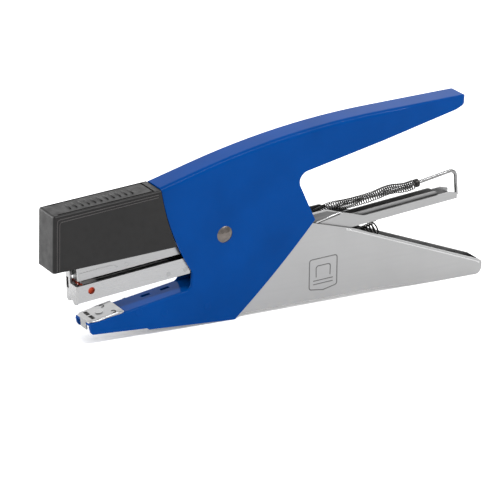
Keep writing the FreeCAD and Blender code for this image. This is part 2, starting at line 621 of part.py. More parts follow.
def pivot_pin():
    """The pin that everything turns on: a domed head on the near side, a peened tail on the far."""
    body = new_body("pivot_pin", "body")
    sketch = new_sketch(body, "YZ")
    outline(sketch, [
        corner("0 - shell_half - pin_head_height", "0"),
        corner("0 - shell_half - pin_head_height", "pin_flat", bow="pin_head_bow"),
        corner("0 - shell_half - press_gap", "pin_head_radius"),
        corner("0 - shell_half - press_gap", "pin_radius"),
        corner("shell_half + washer_height + 2 * press_gap", "pin_radius"),
        corner("shell_half + washer_height + 2 * press_gap", "pin_tail_radius", bow="pin_tail_bow"),
        corner("shell_half + pin_head_height", "pin_flat"),
        corner("shell_half + pin_head_height", "0"),
    ])
    turn = body.newObject("PartDesign::Revolution", "pivot_pin_turn")
    turn.Profile = sketch
    turn.ReferenceAxis = (sketch, ["H_Axis"])
    turn.Angle = 360
    doc.recompute()
    return body


def pivot_washer():
    body = new_body("pivot_washer", "body")
    sketch = new_sketch(body, "XZ", lift="0 - shell_half - press_gap")
    circle(sketch, "0", "0", "washer_radius")
    circle(sketch, "0", "0", "pin_radius + press_gap")
    raise_pad(body, sketch, "washer_height", reverse=True)
    return body


# ---------------------------------------------------------------- lever
def lever_frame():
    """Lower handle, lever plates and head: one stamping, open on top behind, below in front."""
    body = new_body("lever_frame", "body")
    sketch = new_sketch(body, "XZ")
    outline(sketch, [
        corner("head_front_x", "head_front_low"),
        corner("head_front_x", "head_front_top"),
        corner("head_rear_x", "head_rear_top"),
        corner("brow_x", "brow_z"),
        corner("boss_front_x", "boss_top"),
        corner("boss_rear_x", "boss_top"),
        corner("hook_x", "hook_z"),
        corner("knee_x", "knee_z"),
        corner("lever_end_x", "lever_end_z", round="lever_end_round"),
        corner("lever_end_x", "floor_z", round="lever_heel_round"),
        corner("rest_start_x", "floor_z"),
        corner("waist_x", "waist_z"),
        corner("lever_foot_x", "lever_foot_z"),
        corner("lever_shin_x", "lever_shin_z"),
        corner("shin_x", "shin_z"),
        corner("chest_x", "chest_z"),
        corner("chin_x", "chin_z"),
        corner("throat_end_x", "head_rear_low"),
    ])
    slab(body, sketch, "2 * lever_half")
    hollow = new_sketch(body, "XZ")
    outline(hollow, [
        corner("head_front_x - past", "head_front_top - lever_sheet - head_rise * past"),
        corner("head_rear_x", "head_rear_top - lever_sheet"),
        corner("head_rear_x", "head_rear_top + past"),
        corner("lever_end_x - lever_sheet", "head_rear_top + past"),
        corner("lever_end_x - lever_sheet", "floor_z + lever_sheet", round="lever_heel_round - lever_sheet"),
        corner("rest_start_x", "floor_z + lever_sheet"),
        corner("waist_x", "waist_z + lever_sheet"),
        corner("lever_web_end", "lever_foot_z + lever_sheet"),
        corner("lever_web_end", "floor_z - past"),
        corner("head_front_x - past", "floor_z - past"),
    ])
    cut(body, hollow, width="2 * lever_inner")
    hole = new_sketch(body, "XZ")
    circle(hole, "0", "0", "pin_radius + run_gap")
    cut(body, hole, width="4 * shell_half")
    for end in ("front", "rear"):
        rivet = new_sketch(body, "XZ")
        circle(rivet, f"arm_rivet_{end}_level_x", f"arm_rivet_{end}_level_z",
               "arm_rivet_radius + press_gap")
        cut(body, rivet, width="4 * shell_half")
    return body


def head_cap():
    """Black moulded cap over the lever's head, open below and behind."""
    body = new_body("head_cap", "body")
    sketch = new_sketch(body, "XZ")
    outline(sketch, [
        corner("cap_low_x", "cap_low_z"),
        corner("cap_front_x", "cap_front_top"),
        corner("cap_top_x", "cap_top_z", bow="-front_arc_radius"),
        corner("cap_rear_x", "cap_rear_z"),
        corner("cap_mid_x", "cap_mid_z"),
    ])
    slab(body, sketch, "2 * cap_half")
    soften(body, "cap_round", on_cap_shoulder)
    hollow = new_sketch(body, "XZ")
    outline(hollow, [
        corner("cap_low_x + cap_front_wall", "cap_low_z - past"),
        corner("cap_front_x + cap_front_wall", "cap_front_top - cap_top_wall"),
        corner("cap_top_x + past", "cap_top_z - cap_top_wall + cap_rise * past"),
        corner("cap_top_x + 2 * past", "cap_low_z - past"),
    ])
    cut(body, hollow, width="2 * cavity_half")
    moat = slanted_sketch(body, "cap_top_x", "cap_top_z", "cap_slope")
    moat_start = "moat_inset - cap_run"
    outline(moat, [
        corner(moat_start, "moat_outer"),
        corner("0 - moat_inset", "moat_outer"),
        corner("0 - moat_inset", "0 - moat_outer"),
        corner(moat_start, "0 - moat_outer"),
        corner(moat_start, "0 - moat_inner"),
        corner("moat_inner - moat_outer - moat_inset", "0 - moat_inner"),
        corner("moat_inner - moat_outer - moat_inset", "moat_inner"),
        corner(moat_start, "moat_inner"),
    ])
    cut(body, moat, depth="moat_deep")
    return body


def on_cap_shoulder(m):
    """The cap's top and front outer edges."""
    on_side = abs(m.y) > SIZES["cap_half"] - 0.1
    top = SIZES["cap_front_top"] + SIZES["cap_rise"] * (m.x - SIZES["cap_front_x"])
    on_top = abs(m.z - top) < 0.05
    lean = (SIZES["cap_low_x"] - SIZES["cap_front_x"]) / (SIZES["cap_front_top"] - SIZES["cap_low_z"])
    on_front = abs(m.x - SIZES["cap_front_x"] - lean * (SIZES["cap_front_top"] - m.z)) < 0.05
    return (on_side and (on_top or on_front)) or (on_top and on_front)


def hammer_arm():
    """Inverted channel riveted inside the lever's head: it sinks between the nose walls."""
    body = new_body("hammer_arm", "magazine")
    sketch = new_sketch(body, "XZ")
    outline(sketch, [
        corner("arm_front", "arm_low"),
        corner("arm_front", "arm_top"),
        corner("arm_rear", "arm_top"),
        corner("arm_rear", "arm_low"),
    ])
    slab(body, sketch, "2 * channel_half")
    bead = new_sketch(body, "XZ")
    outline(bead, [
        corner("arm_front + arm_bead_inset", "arm_bead_low"),
        corner("arm_front + arm_bead_inset", "arm_bead_high"),
        corner("arm_bead_rear - arm_bead_point", "arm_bead_high"),
        corner("arm_bead_rear", "0.5 * arm_bead_high + 0.5 * arm_bead_low"),
        corner("arm_bead_rear - arm_bead_point", "arm_bead_low"),
    ])
    slab(body, bead, "2 * channel_half + 2 * arm_bead")
    hollow = new_sketch(body, "XZ")
    outline(hollow, [
        corner("arm_front - past", "arm_low - past"),
        corner("arm_front - past", "arm_top - channel_sheet"),
        corner("arm_rear + past", "arm_top - channel_sheet"),
        corner("arm_rear + past", "arm_low - past"),
    ])
    cut(body, hollow, width="2 * channel_inner")
    pierce_walls(body, "arm_rivet_radius", ARM_RIVETS)
    pierce_floor(body, "blade_rivet_radius", BLADE_RIVETS, "0")
    return body


def driver_blade():
    """Blade that drives one staple, with a tab riveted under the arm's web."""
    body = new_body("driver_blade", "magazine")
    sketch = new_sketch(body, "XZ")
    tab = "arm_top - channel_sheet - press_gap"
    outline(sketch, [
        corner("blade_x - 0.5 * blade_sheet", "blade_tip"),
        corner("blade_x - 0.5 * blade_sheet", tab),
        corner("blade_tab_rear", tab),
        corner("blade_tab_rear", tab + " - blade_sheet"),
        corner("blade_x + 0.5 * blade_sheet", tab + " - blade_sheet"),
        corner("blade_x + 0.5 * blade_sheet", "blade_tip"),
    ])
    slab(body, sketch, "2 * blade_half")
    pierce_floor(body, "blade_rivet_radius", BLADE_RIVETS, "0")
    return body


def spring_anchor():
    """Cross strip between the lower handle's walls that holds the return spring's front end."""
    body = new_body("spring_anchor", "body")
    sketch = new_sketch(body, "XZ")
    outline(sketch, [
        corner("return_front_x - anchor_sheet - anchor_gap", "anchor_low"),
        corner("return_front_x - anchor_gap", "anchor_low"),
        corner("return_front_x - anchor_gap", "anchor_high"),
        corner("return_front_x - anchor_sheet - anchor_gap", "anchor_high"),
    ])
    slab(body, sketch, "2 * lever_inner - 2 * press_gap")
    return body


# ---------------------------------------------------------------- magazine
def magazine_channel():
    """Long open channel that carries the staple rail and hangs on the pivot by its ears."""
    body = new_body("magazine_channel", "magazine")
    sketch = new_sketch(body, "XZ")
    outline(sketch, [
        corner("channel_front", "track_floor"),
        corner("channel_front", "channel_low_wall"),
        corner("ear_front - ear_foot", "channel_low_wall"),
        corner("ear_front", "ear_step_z"),
        corner("ear_front + ear_brow", "ear_top", round="ear_round"),
        corner("ear_crest_x", "ear_top"),
        corner("ear_fall_x", "ear_fall_z"),
        corner("ear_rear_x", "ear_rear_z"),
        corner("ear_drop_x", "ear_drop_z"),
        corner("wall_start", "wall_z", round="wall_round"),
        corner("channel_rear - channel_end_slant", "wall_z"),
        corner("channel_rear", "channel_rear_z"),
        corner("channel_rear", "track_floor"),
    ])
    slab(body, sketch, "2 * channel_half")
    lug = new_sketch(body, "XZ")
    outline(lug, [
        corner("lug_x", "track_floor + lug_root"),
        corner("lug_x", "track_floor - lug_deep"),
        corner("lug_x + 0.6 * lug_long", "track_floor - lug_deep"),
        corner("lug_x + lug_long", "track_floor + lug_root"),
    ])
    slab(body, lug, "2 * lug_half")
    hollow = new_sketch(body, "XZ")
    outline(hollow, [
        corner("channel_front - past", "track_floor + channel_sheet"),
        corner("channel_front - past", "ear_top + past"),
        corner("channel_rear + past", "ear_top + past"),
        corner("channel_rear + past", "track_floor + channel_sheet"),
    ])
    cut(body, hollow, width="2 * channel_inner")
    hole = new_sketch(body, "XZ")
    circle(hole, "0", "0", "pin_radius + run_gap")
    cut(body, hole, width="4 * shell_half")
    pierce_walls(body, "nose_rivet_radius", NOSE_RIVETS)
    pierce_floor(body, "rail_rivet_radius", RAIL_RIVETS, "track_floor - 2 * beyond")
    return body


def magazine_nose():
    """Wide front channel with the pusher window and the staple exit, capped by a mask plate."""
    body = new_body("magazine_nose", "magazine")
    sketch = new_sketch(body, "XZ")
    outline(sketch, [
        corner("nose_front", "track_floor"),
        corner("nose_front", "nose_top"),
        corner("nose_rear - nose_slant", "nose_top"),
        corner("nose_rear", "track_floor"),
    ])
    slab(body, sketch, "2 * lever_half")
    soften(body, "lever_sheet", lambda m: abs(m.y) > 4 and abs(m.x - SIZES["nose_front"]) < 0.01)
    hollow = new_sketch(body, "XZ")
    front = "nose_front + lever_sheet"
    outline(hollow, [
        corner(front, "nose_top + past"),
        corner("nose_rear + past", "nose_top + past"),
        corner("nose_rear + past", "track_floor - past"),
        corner("nose_floor_rear", "track_floor - past"),
        corner("nose_floor_rear", "track_floor + channel_sheet"),
        corner("nose_floor_front", "track_floor + channel_sheet"),
        corner("nose_floor_front", "track_floor - past"),
        corner(front, "track_floor - past"),
    ])
    cut(body, hollow, width="2 * lever_inner")
    mask = new_sketch(body, "YZ", lift="nose_front")
    outline(mask, [
        corner("mask_inner", "track_floor + mask_foot"),
        corner("mask_outer", "track_floor + mask_foot"),
        corner("mask_outer", "mask_top", round="mask_outer_round"),
        corner("mask_inner", "mask_top", round="mask_inner_round"),
    ])
    raise_pad(body, mask, "lever_sheet")
    for y in ("lobe_y", "0 - lobe_y"):
        lobe = new_sketch(body, "YZ", lift="nose_front")
        circle(lobe, y, "lobe_z", "lobe_radius")
        raise_pad(body, lobe, "lever_sheet")
    notch = new_sketch(body, "YZ", lift="nose_front - beyond")
    outline(notch, [
        corner("lobe_y - mask_slot_half", "mask_slot_low"),
        corner("lobe_y + mask_slot_half", "mask_slot_low"),
        corner("lobe_y + mask_slot_half", "mask_slot_high"),
        corner("lobe_y - mask_slot_half", "mask_slot_high"),
    ])
    cut(body, notch, depth="beyond + lever_sheet", reverse=True)
    window = new_sketch(body, "XZ")
    circle(window, "window_x", "window_z", "window_radius")
    cut(body, window, width="4 * shell_half")
    pierce_walls(body, "nose_rivet_radius", NOSE_RIVETS)
    return body


def blade_guide():
    """Block behind the mask plate that steers the driver blade."""
    body = new_body("blade_guide", "magazine")
    sketch = new_sketch(body, "XZ")
    outline(sketch, [
        corner("nose_front + lever_sheet + press_gap", "guide_low"),
        corner("nose_front + lever_sheet + press_gap", "guide_top"),
        corner("guide_rear - guide_lead", "guide_top"),
        corner("guide_rear", "guide_top - guide_lead_deep"),
        corner("guide_rear", "guide_low"),
    ])
    slab(body, sketch, "2 * channel_inner - 2 * guide_gap")
    return body


def staple_rail():
    """Inner rail, open on top, that the staples ride over."""
    body = new_body("staple_rail", "magazine")
    sketch = new_sketch(body, "XZ")
    outline(sketch, [
        corner("rail_front", "rail_low"),
        corner("rail_front", "rail_top"),
        corner("rail_rear", "rail_top", round="rail_round"),
        corner("rail_rear", "rail_low"),
    ])
    slab(body, sketch, "2 * rail_half")
    hollow = new_sketch(body, "XZ")
    outline(hollow, [
        corner("rail_front - past", "rail_low + rail_sheet"),
        corner("rail_front - past", "rail_top + past"),
        corner("rail_rear + past", "rail_top + past"),
        corner("rail_rear + past", "rail_low + rail_sheet"),
    ])
    cut(body, hollow, width="2 * rail_inner")
    pierce_floor(body, "rail_rivet_radius", RAIL_RIVETS, "track_floor - 2 * beyond")
    return body


# ---------------------------------------------------------------- follower
def pipe(label, inner, outer, points, bend):
    """A round wire or tube that follows straight runs and bends in the magazine's middle plane."""
    body = new_body(label, "magazine")
    path = new_sketch(body, "XZ")
    corners = [corner(x, z, round=radius) for (x, z), radius in zip(points, bend)]
    outline(path, corners, closed=False)
    section = new_sketch(body, "YZ", lift=points[0][0])
    circle(section, "0", points[0][1], outer)
    if inner:
        circle(section, "0", points[0][1], inner)
    doc.recompute()
    sweep = body.newObject("PartDesign::AdditivePipe", label + "_sweep")
    sweep.Profile = section
    sweep.Spine = path
    doc.recompute()
    return body


ROD_POINTS = [
    ("rod_front", "rod_z"), ("rod_rise_x", "rod_z"), ("rod_crest_x", "rod_crest_z"),
    ("rod_run_x", "rod_run_z"), ("rod_bend_x", "rod_bend_z"), ("rod_foot_x", "rod_foot_z"),
]


def follower_rod():
    bends = [None, "rod_soft_bend", "rod_soft_bend", "rod_soft_bend", "rod_tight_bend", None]
    return pipe("follower_rod", None, "rod_radius", ROD_POINTS, bends)


def pusher_spring_rear():
    """Rear stretch of the pusher spring, where the rod climbs out of the rail."""
    points = [("coil_split", "rod_z"), *ROD_POINTS[1:4]]
    bends = [None, "rod_soft_bend", "rod_soft_bend", None]
    return pipe("pusher_spring_rear", "coil_inner", "coil_outer", points, bends)


def pusher_spring():
    """Front stretch of the pusher spring, which shortens as the pusher is pushed back."""
    body = new_body("pusher_spring", "magazine")
    section = new_sketch(body, "YZ", lift="coil_front")
    circle(section, "0", "rod_z", "coil_outer")
    circle(section, "0", "rod_z", "coil_inner")
    raise_pad(body, section, "coil_split - coil_front")
    return body


def spring_collar():
    """Washer crimped on the rod behind the spring."""
    slope = math.atan2(
        number("rod_bend_z - rod_run_z"), number("rod_bend_x - rod_run_x"))
    ring = doc.addObject("Part::Feature", "spring_collar")
    ring.Label = "spring_collar"
    start = V(number("rod_run_x"), 0, number("rod_run_z"))
    along = V(math.cos(slope), 0, math.sin(slope))
    start = start + along * number("collar_offset")
    outer = Part.makeCylinder(number("collar_radius"), number("collar_long"), start, along)
    bore = Part.makeCylinder(number("rod_radius + press_gap"), number("collar_long"), start, along)
    ring.Shape = outer.cut(bore)
    ring.Placement = FRAMES["magazine"]
    SUBPARTS.append(ring)
    return ring


def pusher():
    """Red moulded pusher: a saddle over the rail with a tongue inside it, bored for the rod."""
    body = new_body("pusher", "magazine")
    sketch = new_sketch(body, "XZ")
    outline(sketch, [
        corner("pusher_front", "pusher_low"),
        corner("pusher_front", "pusher_top"),
        corner("pusher_rear - pusher_chamfer", "pusher_top"),
        corner("pusher_rear", "pusher_top - pusher_chamfer"),
        corner("pusher_rear", "pusher_low"),
    ])
    slab(body, sketch, "2 * pusher_half")
    for side in ("", "0 - "):
        slot = new_sketch(body, "YZ", lift="pusher_front - beyond")
        outline(slot, [
            corner(side + "rail_half " + ("-" if side else "+") + " pusher_gap", "pusher_low - beyond"),
            corner(side + "rail_half " + ("-" if side else "+") + " pusher_gap", "rail_top + pusher_gap"),
            corner(side + "rail_inner " + ("+" if side else "-") + " pusher_gap", "rail_top + pusher_gap"),
            corner(side + "rail_inner " + ("+" if side else "-") + " pusher_gap", "pusher_low - beyond"),
        ])
        cut(body, slot, depth="past", reverse=True)
    relief = new_sketch(body, "XZ")
    outline(relief, [
        corner("pusher_front - beyond", "pusher_low - beyond"),
        corner("pusher_front - beyond", "rail_low + rail_sheet + pusher_gap"),
        corner("pusher_rear + beyond", "rail_low + rail_sheet + pusher_gap"),
        corner("pusher_rear + beyond", "pusher_low - beyond"),
    ])
    cut(body, relief, width="2 * rail_inner")
    bore = new_sketch(body, "YZ", lift="pusher_front - beyond")
    circle(bore, "0", "rod_z", "rod_radius + run_gap")
    cut(body, bore, depth="past", reverse=True)
    return body


def return_spring():
    """Coil spring between lever and magazine, drawn as the sleeve that its coils fill."""
    front = V(number("return_front_x"), 0, number("return_front_z"))
    rear = V(number("return_rear_x"), 0, number("return_rear_z"))
    along = rear - front
    outer = Part.makeCylinder(number("return_outer"), along.Length, front, along)
    bore = Part.makeCylinder(number("return_outer - return_wire"), along.Length, front, along)
    spring = doc.addObject("Part::Feature", "return_spring")
    spring.Label = "return_spring"
    spring.Shape = outer.cut(bore)
    spring.Placement = FRAMES["body"]
    SUBPARTS.append(spring)
    return spring


# ---------------------------------------------------------------- build
ALONG_Y = V(0, 1, 0)
ALONG_Z = V(0, 0, 1)

body_shell()
jaw_liner()
anvil_plate()
anvil_rivet()
pivot_pin()
pivot_washer()
tube("pivot_sleeve", "body", "pin_radius + press_gap", "pin_radius + sleeve_wall", "sleeve_half")
tube("pivot_spring", "body", "torsion_inner", "torsion_outer", "torsion_half")
tube("stop_pin", "body", None, "stop_pin_radius", "cavity_half - press_gap", "stop_pin_x", "stop_pin_z")
lever_frame()
head_cap()
hammer_arm()
driver_blade()
spring_anchor()
return_spring()
magazine_channel()
magazine_nose()
blade_guide()
staple_rail()
cylinders("rail_rivets", "magazine", "rail_rivet_radius", [
    ((x, "0", "track_floor - rail_rivet_proud"), ALONG_Z,
     "rail_low + rail_sheet - track_floor + rail_rivet_proud")
    for x in RAIL_RIVETS
])
cylinders("blade_rivets", "magazine", "blade_rivet_radius", [
    ((x, "0", "arm_top - channel_sheet - press_gap - blade_sheet"), ALONG_Z,
     "channel_sheet + press_gap + blade_sheet")
    for x in BLADE_RIVETS
])
for label, radius, spots in (
        ("arm_rivets", "arm_rivet_radius", ARM_RIVETS),
        ("nose_rivets", "nose_rivet_radius", NOSE_RIVETS)):
    cylinders(label, "magazine", radius, [
        ((x, y, z), ALONG_Y, "lever_half - channel_inner")
        for x, z in spots for y in ("channel_inner", "0 - lever_half")
    ])
follower_rod()
pusher_spring()
pusher_spring_rear()
spring_collar()
pusher()
doc.recompute()

# ---------------------------------------------------------------- checks and files
for item in doc.Objects:
    if "Invalid" in item.State or "Error" in item.State:
        raise RuntimeError(f"{item.Label} failed: {item.State}")
os.makedirs("parts", exist_ok=True)
for subpart in SUBPARTS:
    shape = subpart.Shape
    if shape.isNull() or not shape.isValid():
        raise RuntimeError(f"{subpart.Label} has no valid shape")
    if not shape.Solids:
        raise RuntimeError(f"{subpart.Label} is not solid")
    shape.exportStep(f"parts/{subpart.Label}.step")
    print(f"{subpart.Label:20s} {len(shape.Solids)} solid(s) {shape.Volume:10.2f} mm3")
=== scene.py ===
import json
import math

import bpy
from mathutils import Matrix, Vector


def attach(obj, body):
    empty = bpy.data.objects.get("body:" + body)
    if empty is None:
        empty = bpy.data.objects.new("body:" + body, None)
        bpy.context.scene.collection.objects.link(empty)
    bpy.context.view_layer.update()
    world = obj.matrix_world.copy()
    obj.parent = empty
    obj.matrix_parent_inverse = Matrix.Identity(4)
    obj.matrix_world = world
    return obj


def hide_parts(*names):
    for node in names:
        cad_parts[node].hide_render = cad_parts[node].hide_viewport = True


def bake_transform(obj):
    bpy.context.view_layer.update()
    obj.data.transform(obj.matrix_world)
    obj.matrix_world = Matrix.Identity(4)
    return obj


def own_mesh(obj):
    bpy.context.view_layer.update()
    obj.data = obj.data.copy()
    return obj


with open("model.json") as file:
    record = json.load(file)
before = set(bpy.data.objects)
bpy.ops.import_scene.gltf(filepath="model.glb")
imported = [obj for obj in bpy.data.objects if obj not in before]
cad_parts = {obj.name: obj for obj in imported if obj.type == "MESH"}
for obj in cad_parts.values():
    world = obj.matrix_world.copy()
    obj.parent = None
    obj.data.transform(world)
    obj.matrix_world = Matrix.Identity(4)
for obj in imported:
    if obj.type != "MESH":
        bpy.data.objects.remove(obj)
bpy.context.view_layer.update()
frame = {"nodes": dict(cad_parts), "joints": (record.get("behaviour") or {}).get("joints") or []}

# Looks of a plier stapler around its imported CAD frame. Lengths in this file are millimetres about
# the pivot pin, in one of three frames: the body's, the staple track's and the lower jaw's. The
# matrices below turn them into the row frame's metres.

MM = 0.001
JOINTS = {joint["name"]: joint for joint in frame["joints"]}
PIVOT = Vector(JOINTS["lever_pivot"]["pos_m"])
TRACK_AXIS = Vector(JOINTS["rod_pull"]["axis"]).normalized()
JAW_SLOPE = math.radians(9.4)


def slanted(axis):
    """Matrix from millimetres along a slanted axis through the pivot to the row frame's metres."""
    turn = Matrix((axis, Vector((0, 1, 0)), Vector((-axis.z, 0, axis.x)))).transposed()
    return Matrix.Translation(PIVOT) @ turn.to_4x4() @ Matrix.Scale(MM, 4)


BODY = slanted(Vector((1, 0, 0)))
TRACK = slanted(TRACK_AXIS)
JAW = slanted(Vector((math.cos(JAW_SLOPE), 0, math.sin(JAW_SLOPE))))

SHELL_HALF = 5.0        # half width of the blue body
CAP_HALF = 5.5          # half width of the cap
LEVER_HALF = 4.05       # half width of the lower handle and the nose
CHANNEL_HALF = 3.15     # half width of the magazine channel and the hammer arm


# ---------------------------------------------------------------- materials
class Finish:
    """A material whose Principled shader is fed by a few procedural layers."""

    def __init__(self, name, metallic, **sockets):
        self.material = bpy.data.materials.new(name)
        self.material.use_nodes = True
        self.tree = self.material.node_tree
        self.shader = self.tree.nodes["Principled BSDF"]
        self.shader.inputs["Metallic"].default_value = metallic
        for socket, value in sockets.items():
            self.shader.inputs[socket.replace("_", " ")].default_value = value
        self.place = self.add("ShaderNodeTexCoord").outputs["Object"]

    def add(self, kind, settings=None, **inputs):
        node = self.tree.nodes.new(kind)
        for key, value in (settings or {}).items():
            setattr(node, key, value)
        for key, value in inputs.items():
            socket = node.inputs[key.replace("_", " ")]
            if isinstance(value, bpy.types.NodeSocket):
                self.tree.links.new(value, socket)
            else:
                socket.default_value = value
        return node

    def noise(self, scale, detail=3.0, stretch=None):
        """Noise with scale features per metre, finer or coarser along the axes given by stretch."""
        place = self.place
        if stretch:
            place = self.add("ShaderNodeMapping", Vector=place, Scale=stretch).outputs[0]
        node = self.add("ShaderNodeTexNoise", Vector=place, Scale=scale, Detail=detail)
        return node.outputs["Fac"]

    def span(self, value, low, high, start=0.3, end=0.7):
        """The value between start and end, carried over to low and high."""
        node = self.add("ShaderNodeMapRange", Value=value)
        for key, number in (("From Min", start), ("From Max", end), ("To Min", low), ("To Max", high)):
            node.inputs[key].default_value = number
        return node.outputs["Result"]

    def edge(self, radius, start=0.015, end=0.2):
        """A mask of the sharp edges: how far the normal turns within the radius."""
        soft = self.add("ShaderNodeBevel", {"samples": 4}, Radius=radius).outputs[0]
        sharp = self.add("ShaderNodeNewGeometry").outputs["Normal"]
        turn = self.add("ShaderNodeVectorMath", {"operation": "DOT_PRODUCT"})
        self.tree.links.new(soft, turn.inputs[0])
        self.tree.links.new(sharp, turn.inputs[1])
        return self.span(turn.outputs["Value"], 1.0, 0.0, 1 - end, 1 - start)

    def mix(self, factor, first, second):
        node = self.add("ShaderNodeMix", {"data_type": "RGBA"})
        self.tree.links.new(factor, node.inputs[0])
        for socket, value in ((node.inputs[6], first), (node.inputs[7], second)):
            if isinstance(value, bpy.types.NodeSocket):
                self.tree.links.new(value, socket)
            else:
                socket.default_value = (*value, 1)
        return node.outputs[2]

    def tint(self, colour):
        self.tree.links.new(colour, self.shader.inputs["Base Color"])

    def rough(self, value):
        self.tree.links.new(value, self.shader.inputs["Roughness"])

    def bump(self, *layers):
        """Stacks height layers, each one a height, a depth in metres and a strength."""
        normal = None
        for height, depth, strength in layers:
            node = self.add("ShaderNodeBump", Height=height, Distance=depth, Strength=strength)
            if normal:
                self.tree.links.new(normal, node.inputs["Normal"])
            normal = node.outputs["Normal"]
        self.tree.links.new(normal, self.shader.inputs["Normal"])


def shade(colour, factor):
    """The colour made darker or lighter by the factor, never above full."""
    return tuple(min(1.0, channel * factor) for channel in colour)


def enamel(name, colour, roughness):
    """Stoved enamel on pressed steel: faint orange peel, lighter at the edges, partly thin paint and
    partly a painted highlight along the bends.
    """
    finish = Finish(name, 0.0, IOR=1.5, Specular_IOR_Level=0.035)
    cloud = finish.noise(55, 3)
    tone = finish.mix(finish.span(cloud, 0, 1), shade(colour, 0.9), shade(colour, 1.1))
    # Lighter edges: partly thin enamel, partly a painted highlight along the bends.
    edge_mask = finish.edge(0.0003)
    finish.tint(finish.mix(finish.span(edge_mask, 0, 0.55, 0, 1), tone, shade(colour, 1.9)))
    finish.rough(finish.span(finish.noise(260, 4), roughness - 0.03, roughness + 0.05))
    finish.bump((finish.noise(900, 1), 0.00001, 0.1), (finish.noise(160, 2), 0.00003, 0.06))
    return finish.material


def plastic(name, colour, roughness, grain, depth):
    """Moulded plastic: spark-eroded grain, rubbed smoother and paler at the edges."""
    finish = Finish(name, 0.0, IOR=1.5, Specular_IOR_Level=0.25)
    cloud = finish.noise(90, 4)
    tone = finish.mix(finish.span(cloud, 0, 1), shade(colour, 0.82), shade(colour, 1.2))
    edge_mask = finish.edge(0.00035)
    finish.tint(finish.mix(finish.span(edge_mask, 0, 0.6, 0, 1), tone, shade(colour, 2.4)))
    finish.rough(finish.span(finish.noise(400, 4), roughness - 0.08, roughness + 0.1))
    finish.bump((finish.noise(grain, 2), depth, 0.5), (finish.noise(grain * 0.3, 2), depth, 0.2))
    return finish.material


def plated(name, colour, roughness, brushed=(1.0, 1.0, 1.0), streak=0.05, scratch=0.12):
    """Plated sheet steel: rolling streaks along one axis, fine scratches and bright rubbed edges."""
    finish = Finish(name, 1.0)
    streaks = finish.noise(700, 3, brushed)
    cloud = finish.noise(70, 3)
    tone = finish.mix(finish.span(streaks, 0, 1), shade(colour, 1 - streak), shade(colour, 1 + streak))
    tone = finish.mix(finish.span(cloud, 0, 0.35), tone, shade(colour, 0.86))
    edge_mask = finish.edge(0.00025)
    finish.tint(finish.mix(finish.span(edge_mask, 0, 0.5, 0, 1), tone, shade(colour, 1.5)))
    finish.rough(finish.span(streaks, roughness - 0.05, roughness + 0.09))
    finish.bump((streaks, 0.00001, scratch), (finish.noise(2400, 2, brushed), 0.000006, scratch))
    return finish.material


# Painted shade: the near-black colour laid over faces that look up.
TOP_SHADE = (0.02, 0.012, 0.01)
TOP_SHADE_FROM, TOP_SHADE_FULL = 0.6, 0.9     # upward part of the normal where the painted shade starts, and where it covers


def top_shaded(material):
    """Paints shade on the faces that look up, darkening them towards near black."""
    tree = material.node_tree
    shader = tree.nodes["Principled BSDF"]
    paint = shader.inputs["Base Color"].links[0].from_socket
    normal = tree.nodes.new("ShaderNodeNewGeometry").outputs["Normal"]
    split = tree.nodes.new("ShaderNodeSeparateXYZ")
    tree.links.new(normal, split.inputs[0])
    ramp = tree.nodes.new("ShaderNodeMapRange")
    ramp.inputs["From Min"].default_value, ramp.inputs["From Max"].default_value = TOP_SHADE_FROM, TOP_SHADE_FULL
    tree.links.new(split.outputs["Z"], ramp.inputs["Value"])
    node = tree.nodes.new("ShaderNodeMix")
    node.data_type = "RGBA"
    tree.links.new(ramp.outputs["Result"], node.inputs[0])
    tree.links.new(paint, node.inputs[6])
    node.inputs[7].default_value = (*TOP_SHADE, 1)
    tree.links.new(node.outputs[2], shader.inputs["Base Color"])
    return material


def oiled(name, colour, roughness):
    """Dark drawn spring wire: patchy oil film and fine drawing marks."""
    finish = Finish(name, 1.0)
    patch = finish.noise(420, 4)
    finish.tint(finish.mix(finish.span(patch, 0, 1), shade(colour, 0.6), shade(colour, 1.6)))
    finish.rough(finish.span(finish.noise(1500, 3), roughness - 0.1, roughness + 0.12))
    finish.bump((finish.noise(5200, 2), 0.00001, 0.3))
    return finish.material


ALONG = (0.06, 1.0, 1.0)       # streaks that run with X
UPRIGHT = (1.0, 1.0, 0.08)     # streaks that run with Z
BLUE = (0.0, 0.037, 0.178)
BLACK = (0.004, 0.0037, 0.0037)
CHROME = (0.33, 0.33, 0.332)
NICKEL = (0.285, 0.285, 0.286)
DARK_STEEL = (0.028, 0.027, 0.026)
RED = (0.95, 0.11, 0.05)

